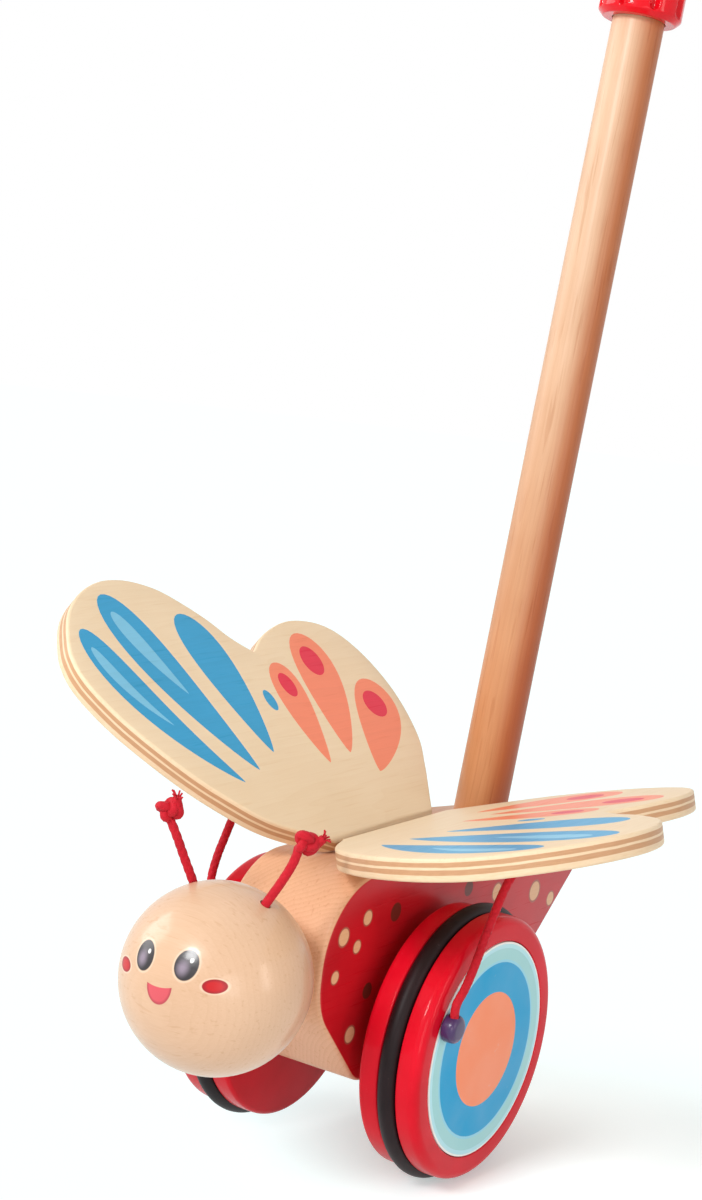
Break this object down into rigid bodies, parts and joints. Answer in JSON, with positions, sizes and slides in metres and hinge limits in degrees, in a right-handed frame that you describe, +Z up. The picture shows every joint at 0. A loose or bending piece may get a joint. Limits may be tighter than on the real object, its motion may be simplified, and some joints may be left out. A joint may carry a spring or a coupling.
{
  "type": "push toy",
  "caption": "Winged wooden push toy: crank pegs on its wheels pull cords that flap hinged wings, and a long stick with a collar and knob pushes it.",
  "frame": {"origin": "centre of the body's flat underside across its width, straight below the wheels' axle", "axes": "+X to the toy's side with the right wheel, +Y to its tail, +Z up; the head looks along -Y"},
  "size_m": [0.1956, 0.2584, 0.5876],
  "materials": {
    "body_block": "beech block, clear satin lacquer, side faces painted red with bare spots",
    "head_ball": "turned beech ball, satin lacquer, printed face",
    "head_dowel": "plain beech, unfinished",
    "antenna": "braided red cord",
    "axle_rod": "drawn steel",
    "axle_cap": "pressed steel",
    "axle_spacer": "moulded",
    "stick": "turned hardwood, satin lacquer",
    "stick_collar": "gloss red",
    "handle_knob": "turned beech, gloss red paint",
    "hinge_eye": "bent steel wire",
    "hinge_pin": "drawn steel",
    "wheel": "turned beech, gloss red paint",
    "tyre": "black rubber ring",
    "wheel_disc": "printed rings under a satin film",
    "crank_peg": "moulded dark purple",
    "wing": "birch plywood, clear satin lacquer, printed top face",
    "link_cord": "braided red cord"
  },
  "bodies": {
    "chassis": {"body_block": "body_block", "head_ball": "head_ball", "head_dowel": "head_dowel", "antenna_left": "antenna", "antenna_right": "antenna", "axle_rod": "axle_rod", "axle_cap_left": "axle_cap", "axle_cap_right": "axle_cap", "axle_spacer_left": "axle_spacer", "axle_spacer_right": "axle_spacer", "stick_lower": "stick", "stick_collar": "stick_collar", "stick_upper": "stick", "handle_knob": "handle_knob", "hinge_eye_left_front": "hinge_eye", "hinge_eye_left_rear": "hinge_eye", "hinge_eye_right_front": "hinge_eye", "hinge_eye_right_rear": "hinge_eye"},
    "wheel_left": {"wheel_left": "wheel", "tyre_left": "tyre", "wheel_disc_left": "wheel_disc"},
    "peg_left": {"crank_peg_left": "crank_peg"},
    "wing_left": {"wing_left": "wing", "hinge_pin_left": "hinge_pin", "link_cord_left": "link_cord"},
    "wheel_right": {"wheel_right": "wheel", "tyre_right": "tyre", "wheel_disc_right": "wheel_disc"},
    "peg_right": {"crank_peg_right": "crank_peg"},
    "wing_right": {"wing_right": "wing", "hinge_pin_right": "hinge_pin", "link_cord_right": "link_cord"}
  },
  "joints": [
    {"name": "wheel_left_spin", "type": "hinge", "parent": "chassis", "child": "wheel_left", "pos_m": [-0.0342, 0, 0.0115], "axis": [1, 0, 0], "continuous": true, "deforming": ["link_cord_left"]},
    {"name": "peg_left_swivel", "type": "hinge", "parent": "wheel_left", "child": "peg_left", "pos_m": [-0.0466, -0.01847, 0.03514], "axis": [1, 0, 0], "continuous": true},
    {"name": "wing_left_flap", "type": "hinge", "parent": "chassis", "child": "wing_left", "pos_m": [-0.0045, 0, 0.0686], "axis": [0, 1, 0], "range_deg": [-37, 4], "deforming": ["link_cord_left"]},
    {"name": "wheel_right_spin", "type": "hinge", "parent": "chassis", "child": "wheel_right", "pos_m": [0.0342, 0, 0.0115], "axis": [1, 0, 0], "continuous": true, "deforming": ["link_cord_right"]},
    {"name": "peg_right_swivel", "type": "hinge", "parent": "wheel_right", "child": "peg_right", "pos_m": [0.0466, -0.02696, 0.02465], "axis": [1, 0, 0], "continuous": true},
    {"name": "wing_right_flap", "type": "hinge", "parent": "chassis", "child": "wing_right", "pos_m": [0.0045, 0, 0.0686], "axis": [0, -1, 0], "range_deg": [-16, 25], "deforming": ["link_cord_right"]}
  ],
  "couplings": [
    {"joint": "peg_left_swivel", "follows": "wheel_left_spin", "ratio": -1},
    {"joint": "peg_right_swivel", "follows": "wheel_right_spin", "ratio": -1}
  ]
}
